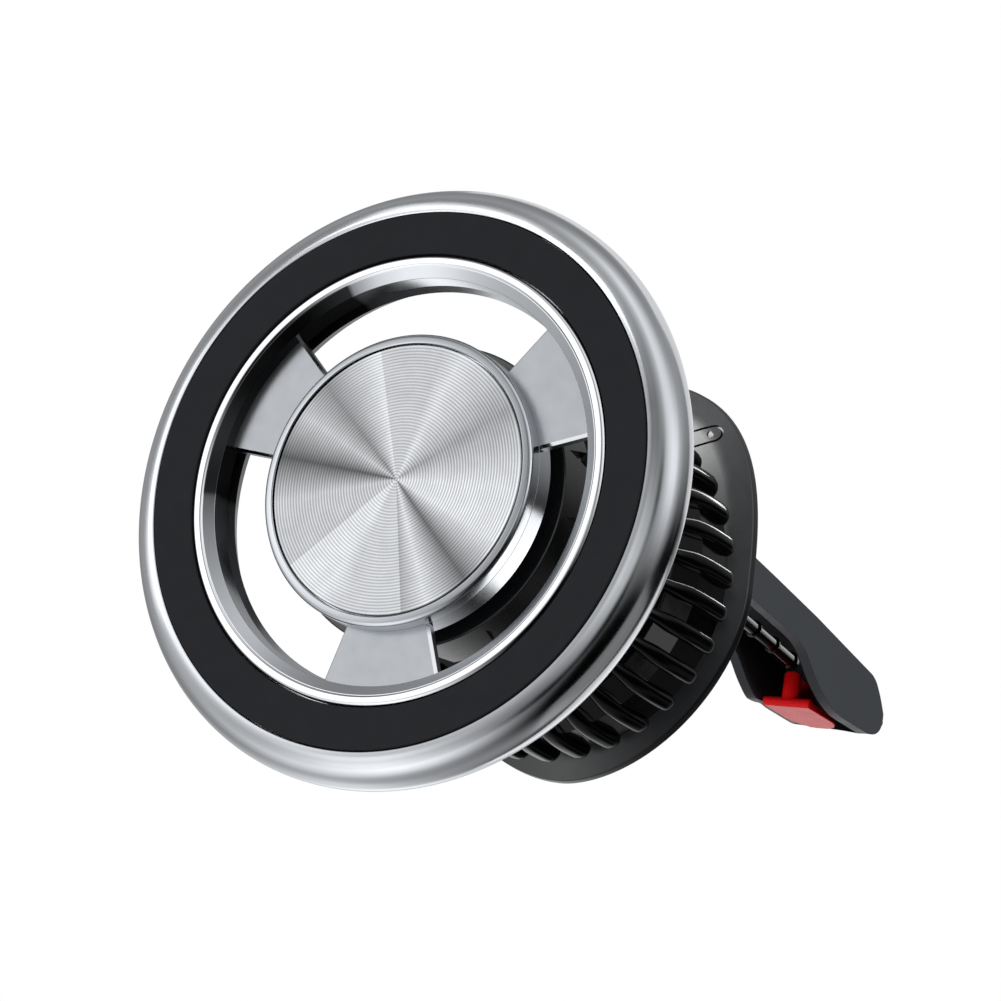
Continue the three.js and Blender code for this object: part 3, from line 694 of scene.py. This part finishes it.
def fin(index, half_width=0.92, corner=0.72, inset=2.2):
    """One thick rib with rounded corners and rounded ends, from the knob's front to its back."""
    mesh_data = bmesh.new()
    angle = 2 * math.pi * index / FIN_COUNT
    out = Vector((math.cos(angle), 0, math.sin(angle)))
    side = Vector((-math.sin(angle), 0, math.cos(angle)))
    overhang = 0.4
    length = KNOB_BACK - KNOB_FRONT - 0.6
    stations = 28
    end_round = 2.0
    front_taper = 4.0
    deepest_root = 16.6
    arc = 5
    sections = []
    for i in range(stations + 1):
        t = i / stations
        s = length * (0.5 - 0.5 * math.cos(math.pi * t))
        rear = max(0.0, 1 - s / end_round)
        shrink = 1 - math.sqrt(max(0.0, 1 - rear ** 2))
        edge = fin_radius(s) - end_round * shrink
        front = max(0.0, (s - length + front_taper) / front_taper)
        width = half_width * (1 - 0.4 * shrink) * (1 - 0.45 * front)
        round_off = min(corner, width)
        depth = KNOB_BACK + overhang * (1 - t) - s
        root = min(edge - inset, deepest_root)
        section = [(root, -width)]
        for turn, centre in ((-math.pi / 2, round_off - width), (0.0, width - round_off)):
            for k in range(arc + 1):
                a = turn + math.pi / 2 * k / arc
                section.append((edge - round_off + round_off * math.cos(a), centre + round_off * math.sin(a)))
        section.append((root, width))
        sections.append([(Vector((0, PAD_FACE + depth, 0)) + out * r + side * w) * MM for r, w in section])
    loft(mesh_data, sections)
    piece(fin_name(index), mesh_data, GLOSS_BLACK, "knob", ["clamp_knob"], 40, weighted=False)


def knob_front_ring():
    turned("knob_thrust_ring", [
        (4.6, 24.4, 0.1), (9.6, 24.4, 0.25), (9.6, 25.1, 0.1), (4.6, 25.1, 0.1),
    ], SATIN_BLACK, "knob", ["knob_front_ring"], 96)


# ---- base ----
def plate_reach(angle):
    """Distance from the clamp axis to the plate's edge: square at the top, tapered below."""
    above = math.sin(angle) > 0
    height = PLATE_TOP if above else PLATE_BOTTOM
    squareness = PLATE_TOP_SQUARENESS if above else PLATE_BOTTOM_SQUARENESS
    across = abs(math.cos(angle) / PLATE_HALF_WIDTH) ** squareness
    upright = abs(math.sin(angle) / height) ** squareness
    return (across + upright) ** (-1 / squareness)


def stretch_to_plate(mesh_data, round_r=9.0, full_r=14.0):
    """Push a turned mesh out to the plate's outline, leaving what is inside round_r circular."""
    for v in mesh_data.verts:
        radius = math.hypot(v.co.x, v.co.z) / MM
        share = max(0.0, min(1.0, (radius - round_r) / (full_r - round_r)))
        stretch = 1 + (plate_reach(math.atan2(v.co.z, v.co.x)) / PLATE_TOP - 1) * share
        v.co.x *= stretch
        v.co.z *= stretch


def slot_bar(radius, front, back):
    """Slot-shaped bar at the index mark's place."""
    mesh_data = bmesh.new()
    turn = math.radians(MARK_TURN)
    outline = []
    steps = 16
    for side in (1, -1):
        for k in range(steps + 1):
            angle = -math.pi / 2 + math.pi * k / steps + (0 if side > 0 else math.pi)
            x = side * MARK_HALF_LENGTH + radius * math.cos(angle)
            z = radius * math.sin(angle)
            outline.append((MARK_CENTRE[0] + x * math.cos(turn) - z * math.sin(turn),
                            MARK_CENTRE[1] + x * math.sin(turn) + z * math.cos(turn)))
    loft(mesh_data, [[in_metres(x, depth, z) for x, z in outline] for depth in (front, back)])
    return mesh_data


def plate_blank():
    """Gently domed plate with a thin edge and a spigot for the knob."""
    mesh_data = bmesh.new()
    outline = rounded([
        (6.3, 36.3, 0.1), (8.2, 36.3, 0.2), (8.2, 39.3, 0.2), (14.0, 39.3, 3.0), (18.0, 39.62, 8.0),
        (20.8, 40.25, 8.0), (PLATE_TOP - 0.06, 41.25, 0.3), (PLATE_TOP - 0.01, 42.25, 0.25),
        (22.9, 42.6, 0.15), (6.3, 42.6, 0.1),
    ], 6)
    add_turned(mesh_data, outline)
    stretch_to_plate(mesh_data)
    return loose_object("plate_blank", mesh_data)


def base_plate():
    """Plate with a pocket for the index mark."""
    plate = plate_blank()
    cut_away(plate, loose_object("mark_cutter", slot_bar(MARK_R + MARK_GROOVE, 38.0, 41.0)))
    piece("vent_base_plate", taken_mesh(plate), PLATE_BLACK, "base", ["base_plate"], 30)


def index_mark():
    """Flush bar in a thin groove, with a small round dimple at its outer end."""
    bar = plate_blank()
    cut_away(bar, loose_object("mark_shape", slot_bar(MARK_R, 38.0, 41.0)), "INTERSECT")
    turn = math.radians(MARK_TURN)
    dimple_at = 2.1
    dimple_r = 0.38
    around = 24
    corners = []
    for k in range(around):
        angle = 2 * math.pi * k / around
        corners.append((MARK_CENTRE[0] + dimple_at * math.cos(turn) + dimple_r * math.cos(angle),
                        MARK_CENTRE[1] + dimple_at * math.sin(turn) + dimple_r * math.sin(angle)))
    dimple = bmesh.new()
    loft(dimple, [[in_metres(x, depth, z) for x, z in corners] for depth in (39.0, 40.4)])
    cut_away(bar, loose_object("dimple_cutter", dimple))
    piece("vent_index_mark", taken_mesh(bar), PLATE_BLACK, "base", ["index_mark"], 30)


def seat_pad():
    """Rubber seat with shallow rings that grip the vent."""
    corners = [(8.0, 42.9, 0), (20.6, 42.9, 0.1), (20.6, 43.6, 0.2), (20.2, 44.0, 0.15)]
    for ring in range(3):
        outer = 18.6 - 3.2 * ring
        corners += [(outer, 44.0, 0.1), (outer - 0.3, 43.6, 0.1)]
        corners += [(outer - 1.0, 43.6, 0.1), (outer - 1.3, 44.0, 0.1)]
    corners += [(8.0, 44.0, 0.1)]
    mesh_data = bmesh.new()
    add_turned(mesh_data, rounded(corners))
    stretch_to_plate(mesh_data)
    piece("vent_seat_rubber", mesh_data, RUBBER, "base", ["seat_pad"])


# ---- hook arm ----
def bezier(points, steps):
    """Points of a quadratic or cubic curve, without its first point."""
    made = []
    for k in range(1, steps + 1):
        t = k / steps
        level = [Vector(p) for p in points]
        while len(level) > 1:
            level = [a.lerp(b, t) for a, b in zip(level, level[1:])]
        made.append(level[0])
    return made


def arm_outline():
    """Side view of the arm as (y, z) points."""
    line = [Vector((14.0, -4.0))]
    line += bezier([(14.0, -4.0), (14.0, -5.4), (15.5, -5.4)], 6)
    line += [Vector((17.2, -5.4))]
    line += bezier([(17.2, -5.4), (17.8, -5.4), (18.2, -4.9)], 5)
    line += [Vector((21.4, -1.0))]
    line += bezier([(21.4, -1.0), (22.0, -0.2), (22.0, 0.8)], 5)
    line += [Vector((22.0, 6.4))]
    line += bezier([(22.0, 6.4), (22.0, 7.8), (23.6, 7.7)], 6)
    line += [Vector((30.0, 7.08)), Vector((35.6, 6.5))]
    line += bezier([(35.6, 6.5), (40.5, 6.0), (40.5, 4.4), (43.6, 2.7)], 14)
    line += bezier([(43.6, 2.7), (47.0, 0.7), (51.0, 0.7)], 12)
    line += [Vector((54.0, 0.7)), Vector((56.4, 0.7))]
    line += bezier([(56.4, 0.7), (59.4, 0.8), (60.6, 2.0), (60.4, 3.9)], 12)
    line += bezier([(60.4, 3.9), (59.4, 5.6), (58.1, 6.8)], 6)
    line += bezier([(58.1, 6.8), (57.4, 7.4), (56.4, 7.6)], 5)
    line += [Vector((49.0, 8.78)), Vector((41.4, 10.0)), Vector((30.0, 11.52)), Vector((19.0, 12.9))]
    line += bezier([(19.0, 12.9), (14.0, 13.4), (14.0, 8.6)], 8)
    return line


def extruded_side(mesh_data, outline, half_width):
    """Extrude a side view of (y, z) points in the clamp frame across X."""
    left = [mesh_data.verts.new(Vector((-half_width, y, z)) * MM) for y, z in outline]
    right = [mesh_data.verts.new(Vector((half_width, y, z)) * MM) for y, z in outline]
    count = len(outline)
    mesh_data.faces.new(left)
    mesh_data.faces.new(list(reversed(right)))
    for i in range(count):
        j = (i + 1) % count
        mesh_data.faces.new((left[j], left[i], right[i], right[j]))


def cut_away(target, cutter, operation="DIFFERENCE"):
    """Subtract one object from another, or keep what they share, and drop the cutter."""
    modifier = target.modifiers.new("cut", "BOOLEAN")
    modifier.operation = operation
    modifier.solver = "EXACT"
    modifier.object = cutter
    graph = bpy.context.evaluated_depsgraph_get()
    cut_mesh = bpy.data.meshes.new_from_object(target.evaluated_get(graph))
    target.modifiers.clear()
    target.data = cut_mesh
    bpy.data.objects.remove(cutter)


def loose_object(name, mesh_data):
    bmesh.ops.recalc_face_normals(mesh_data, faces=mesh_data.faces)
    mesh = bpy.data.meshes.new(name)
    mesh_data.to_mesh(mesh)
    mesh_data.free()
    made = bpy.data.objects.new(name, mesh)
    bpy.context.scene.collection.objects.link(made)
    return made


def hook_arm():
    """Hollow arm, open underneath, with a rounded tip and softened edges."""
    solid = bmesh.new()
    extruded_side(solid, arm_outline(), ARM_HALF_WIDTH)
    arm = loose_object("vent_hook_arm", solid)
    channel = bmesh.new()
    hollow = [Vector((23.6, -2)), Vector((23.6, 11.0)), Vector((41.2, 8.7)), Vector((56.0, 6.3))]
    hollow += bezier([(56.0, 6.3), (58.0, 5.6), (57.6, 3.4)], 8)
    hollow += [Vector((56.0, -2))]
    extruded_side(channel, hollow, ARM_HALF_WIDTH - 1.2)
    cut_away(arm, loose_object("channel_cutter", channel))
    stem_bore = rod_mesh([(4.3, 0), (4.3, 8.5)], Vector((0, 10.0, 0)), Vector((0, 1, 0)))
    cut_away(arm, loose_object("stem_bore", stem_bore))
    across = [(1.2, 0), (1.2, 4 * ARM_HALF_WIDTH)]
    pin_bore = rod_mesh(across, Vector((-2 * ARM_HALF_WIDTH, 16.4, 0)), Vector((1, 0, 0)))
    cut_away(arm, loose_object("pin_bore", pin_bore))
    raise_far_wall(arm.data)
    made = piece("vent_hook_arm", taken_mesh(arm), MATT_GREY, "hook", ["hook_arm"], 30)
    soften(made, 0.32)


def raise_far_wall(mesh, start=45.2, run=3.5, rise=1.35):
    """Cut the arm's wall on the -X side a little higher around the claw."""
    for v in mesh.vertices:
        if v.co.x > -3 * MM or v.co.z > 3 * MM:
            continue
        share = max(0.0, min(1.0, (v.co.y / MM - start) / run))
        v.co.z += rise * share * MM


def rod_mesh(profile, start, axis, segments=40):
    """Closed round bar: (radius, distance) points turned around an axis that leaves from start."""
    across = axis.orthogonal().normalized()
    up = axis.cross(across).normalized()
    mesh_data = bmesh.new()
    sections = []
    for radius, along in profile:
        ring = []
        for k in range(segments):
            angle = 2 * math.pi * k / segments
            out = across * math.cos(angle) + up * math.sin(angle)
            ring.append((start + axis * along + out * radius) * MM)
        sections.append(ring)
    loft(mesh_data, sections)
    return mesh_data


def rod_height(y):
    return 7.31 - 0.1025 * (y - 34.6)


def hook_rod():
    """Ribbed rod that runs down the channel along its own sloping axis."""
    start = Vector((0, 22.2, rod_height(22.2)))
    end = Vector((0, 46.4, rod_height(46.4)))
    length = (end - start).length
    collar_pitch = 4.8
    at = 4.3
    profile = [(ROD_R, 0.0)]
    while at < length - 0.6:
        profile += [(ROD_R, at - 0.42), (0.94, at - 0.34), (1.0, at - 0.2), (1.0, at - 0.02),
                    (0.94, at + 0.1), (0.66, at + 0.16), (0.66, at + 0.4), (ROD_R, at + 0.46)]
        at += collar_pitch
    profile += [(ROD_R, length - 0.2), (0.6, length)]
    mesh_data = rod_mesh(profile, start, (end - start).normalized(), 48)
    piece("ribbed_rod", mesh_data, GLOSS_BLACK, "hook", ["hook_rod"], 35, weighted=False)


def sole_half_width(y, half=2.9, taper_start=51.2, taper=4.1):
    """Half-width of the claw's sole, which is rounded at the back in plan."""
    share = max(0.0, (y - taper_start) / taper)
    return half * math.sqrt(max(0.02, 1 - share ** 2))


def hook_claw():
    """Red claw: sole with a raised front lip, a round post and the web behind it."""
    roll = 0.09
    back = [(51.2 + 4.0 * k / 10) for k in range(11)]
    outline = bezier([(45.4, 1.25), (45.35, 2.0), (46.0, 2.0)], 6)
    outline += bezier([(46.0, 2.0), (46.35, 2.0), (46.45, 1.72)], 4)
    outline += [Vector((y, 1.7)) for y in back]
    outline += [Vector((y, 0.88)) for y in reversed(back)]
    outline += bezier([(46.0, 0.88), (45.5, 0.86), (45.4, 1.25)], 5)
    sole = bmesh.new()
    sides = []
    for side in (-1, 1):
        row = []
        for y, z in outline:
            x = side * sole_half_width(y)
            row.append(Vector((x, y, z - roll * x)) * MM)
        sides.append(row)
    loft(sole, sides)
    soften(piece("hook_claw_sole", sole, RED_PLASTIC, "hook", ["hook_claw"], 40), 0.18)
    web = bmesh.new()
    web_outline = [Vector((46.5, 1.5)), Vector((46.5, 4.7)), Vector((50.0, 4.7)), Vector((54.0, 1.5))]
    extruded_side(web, web_outline, 0.6)
    soften(piece("hook_claw_web", web, RED_PLASTIC, "hook", ["hook_claw"], 40), 0.15)
    levels = [(1.25, 0), (1.05, 0.4), (0.97, 0.9), (0.95, 3.3), (0.8, 3.5)]
    post = rod_mesh(levels, Vector((0, 46.5, 1.5)), Vector((0, 0, 1)))
    piece("hook_claw_post", post, RED_PLASTIC, "hook", ["hook_claw"], 50, weighted=False)


def soften(made, width):
    """Round the sharp edges by a bevel that comes before the piece's other modifiers."""
    bevel = made.modifiers.new("edge_round", "BEVEL")
    bevel.width = width * MM
    bevel.segments = 3
    bevel.limit_method = "ANGLE"
    bevel.angle_limit = math.radians(40)
    bevel.harden_normals = True
    made.modifiers.move(len(made.modifiers) - 1, 0)


# ---- studio ----
VIEW_AZIMUTH = 30.27
VIEW_ELEVATION = -15.62
VIEW_ROLL = 6.89
VIEW_DISTANCE = 600.0
VIEW_OFFSET = (-10.543, 2.222)      # pad centre right of and above the middle of the view
LENS = 216.98


def view_axes():
    """Right, up and backward directions of the camera."""
    azimuth = math.radians(VIEW_AZIMUTH)
    elevation = math.radians(VIEW_ELEVATION)
    back = Vector((math.sin(azimuth) * math.cos(elevation), -math.cos(azimuth) * math.cos(elevation),
                   math.sin(elevation)))
    right = Vector((0, 0, 1)).cross(back).normalized()
    roll = Matrix.Rotation(math.radians(VIEW_ROLL), 3, back)
    right = roll @ right
    return right, back.cross(right), back


def add_camera():
    right, up, back = view_axes()
    data = bpy.data.cameras.new("camera")
    data.lens = LENS
    data.sensor_width = 36
    data.clip_start = 0.01
    data.clip_end = 20
    camera = bpy.data.objects.new("camera", data)
    target = Vector((0, PAD_FACE, 0))
    place = target + back * VIEW_DISTANCE - right * VIEW_OFFSET[0] - up * VIEW_OFFSET[1]
    turn = Matrix((right, up, back)).transposed().to_4x4()
    camera.matrix_world = Matrix.Translation(place * MM) @ turn
    bpy.context.scene.collection.objects.link(camera)
    bpy.context.scene.camera = camera


def toward(azimuth, elevation):
    """Unit direction from the mount; azimuth 0 is the driver's side and 90 is +X."""
    around = math.radians(azimuth)
    above = math.radians(elevation)
    return Vector((math.sin(around) * math.cos(above), -math.cos(around) * math.cos(above), math.sin(above)))


def soft_box(name, azimuth, elevation, distance, width, height, radiance, turn=0.0):
    """Area light of the given radiance, `distance` millimetres from the mount's middle and facing it."""
    data = bpy.data.lights.new(name, "AREA")
    data.shape = "RECTANGLE"
    data.size = width * MM
    data.size_y = height * MM
    data.energy = radiance * math.pi * width * height * MM * MM
    light = bpy.data.objects.new(name, data)
    away = toward(azimuth, elevation)
    facing = away.to_track_quat("Z", "Y").to_matrix().to_4x4()
    spin = Matrix.Rotation(math.radians(turn), 4, "Z")
    light.matrix_world = Matrix.Translation(away * distance * MM) @ facing @ spin
    light.visible_camera = False
    bpy.context.scene.collection.objects.link(light)
    return light


def light_only(light, names, alone):
    """Make a light shine on the named pieces only; alone also keeps other pieces from shading them."""
    lit = bpy.data.collections.new(f"lit_by_{light.name}")
    for name in names:
        lit.objects.link(bpy.data.objects[name])
    light.light_linking.receiver_collection = lit
    if alone:
        light.light_linking.blocker_collection = lit


# soft patches of the surround: azimuth, elevation, half-width in degrees, brightness
GLOWS = [
    (-36, 16, 12, 1.30),
    (-56, 6, 14, 0.50),
    (72, 17, 16, 1.10),
    (52, 43, 17, 0.50),
    (18, 60, 14, 0.45),
    (12, 0, 11, 0.60),
    (-31, -52, 17, 0.90),
    (-72, -42, 20, 0.45),
    (62, -40, 30, -0.50),
    (4, 21, 10, -0.22),
    (116, -8, 18, -0.30),
    (-42, 42, 14, -0.20),
    (-150, -18, 13, 1.00),
    (-132, -42, 15, 0.50),
    (150, 0, 16, -0.33),
    (170, -33, 15, -0.33),
    (118, -34, 16, -0.33),
    (6, -28, 9, -0.35),
    (22, -11, 8, -0.50),
    (29, 12, 8, -0.35),
    (-33, -24, 11, 0.80),
]
AMBIENT = 0.33


def add_world():
    """Pale surround with soft bright and dark patches; the camera sees plain white."""
    world = bpy.data.worlds.new("studio")
    bpy.context.scene.world = world
    world.use_nodes = True
    tree = world.node_tree
    background = tree.nodes["Background"]
    coordinates = tree.nodes.new("ShaderNodeTexCoord")
    total = None
    for azimuth, elevation, half_width, brightness in GLOWS:
        aim = tree.nodes.new("ShaderNodeVectorMath")
        aim.operation = "DOT_PRODUCT"
        link(tree, coordinates.outputs["Generated"], aim.inputs[0])
        aim.inputs[1].default_value = toward(azimuth, elevation)
        sharpness = math.log(2) / (1 - math.cos(math.radians(half_width)))
        short_of_centre = math_node(tree, "SUBTRACT", aim.outputs["Value"], 1.0)
        falloff = math_node(tree, "MULTIPLY", short_of_centre, sharpness)
        glow = math_node(tree, "MULTIPLY", math_node(tree, "EXPONENT", falloff), brightness)
        total = glow if total is None else math_node(tree, "ADD", total, glow)
    total = math_node(tree, "MAXIMUM", math_node(tree, "ADD", total, AMBIENT), 0.0)
    link(tree, total, background.inputs["Strength"])
    background.inputs["Color"].default_value = (0.98, 0.99, 1.0, 1)
    plain = tree.nodes.new("ShaderNodeBackground")
    plain.inputs["Color"].default_value = (1, 1, 1, 1)
    path = tree.nodes.new("ShaderNodeLightPath")
    mix = tree.nodes.new("ShaderNodeMixShader")
    link(tree, path.outputs["Is Camera Ray"], mix.inputs["Fac"])
    link(tree, background.outputs["Background"], mix.inputs[1])
    link(tree, plain.outputs["Background"], mix.inputs[2])
    link(tree, mix.outputs["Shader"], tree.nodes["World Output"].inputs["Surface"])


def add_floor():
    mesh_data = bmesh.new()
    bmesh.ops.create_grid(mesh_data, x_segments=1, y_segments=1, size=6.0)
    bmesh.ops.translate(mesh_data, verts=mesh_data.verts, vec=Vector((0, 0, -0.30)))
    mesh = bpy.data.meshes.new("studio_floor")
    mesh_data.to_mesh(mesh)
    mesh_data.free()
    mesh.materials.append(FLOOR_PAINT)
    floor = bpy.data.objects.new("studio_floor", mesh)
    bpy.context.scene.collection.objects.link(floor)
    return floor


FLOOR = ["studio_floor"]
CLAW = ["hook_claw_sole", "hook_claw_post", "hook_claw_web"]
RING = ["head_ring"]
HUB = ["hub_bezel_ring", "hub_shell"]
FINS = [fin_name(k) for k in range(FIN_COUNT)]
PLATE = ["vent_base_plate", "vent_index_mark"]
# name, azimuth, elevation, distance, width, height, radiance, turn, lit pieces, alone
FILLS = [
    ("floor_fill", 0, 80, 3000, 3000, 3000, 2.2, 0, FLOOR, False),
    ("claw_fill", 25, -42, 500, 200, 200, 6.0, 0, CLAW, True),
    ("rod_fill", 160, 12, 500, 200, 300, 3.0, 0, ["ribbed_rod"], True),
    ("rim_low_fill", 172, -18, 700, 480, 480, 0.75, 0, RING, False),
    ("rim_high_fill", 178, 40, 700, 760, 760, 0.5, 0, RING, False),
    ("rim_side_fill", 108, -42, 700, 620, 620, 0.22, 0, RING, False),
    ("rim_top_fill", -38, 43, 700, 320, 200, 1.3, 0, RING, False),
    ("rim_left_fill", -62, 14, 700, 200, 320, 0.8, 0, RING, False),
    ("rim_corner_fill", -14, 34, 700, 220, 180, 1.3, 0, RING, False),
    ("hub_side_fill", 157, -14, 700, 420, 420, 1.7, 0, HUB, True),
    ("fin_strip", 147, 51, 600, 700, 70, 10.0, -38, FINS, False),
    ("knob_panel_fill", 122, -24, 600, 300, 300, 1.6, 0, ["clamp_knob_core"], False),
    ("plate_fill", -18, 32, 105, 50, 50, 12.0, 0, PLATE, True),
    ("arm_fill", 105, 8, 250, 140, 140, 4.5, 0, ["vent_hook_arm"], True),
]


def add_studio():
    """Surround and floor, and one fill light for each group of pieces in FILLS."""
    add_world()
    floor = add_floor()
    floor.visible_glossy = False
    floor.visible_diffuse = False
    for name, azimuth, elevation, distance, width, height, radiance, turn, lit, alone in FILLS:
        light = soft_box(name, azimuth, elevation, distance, width, height, radiance, turn)
        light_only(light, lit, alone)
    bpy.context.scene.view_settings.view_transform = "Standard"


# ---- build ----
dress_cad_nodes()
ring_rim()
window_wall()
polished_bead()
for number, spoke_angle in enumerate((30, 150, 270), 1):
    spoke(number, spoke_angle)
hub_shell()
hub_bezel()
hub_disc()
silicone_pad()
back_cover()
socket_cup()
lock_nut()
ball()
stem()
knob_core()
for fin_index in range(FIN_COUNT):
    fin(fin_index)
knob_front_ring()
base_plate()
index_mark()
seat_pad()
hook_arm()
hook_rod()
hook_claw()
add_camera()
add_studio()
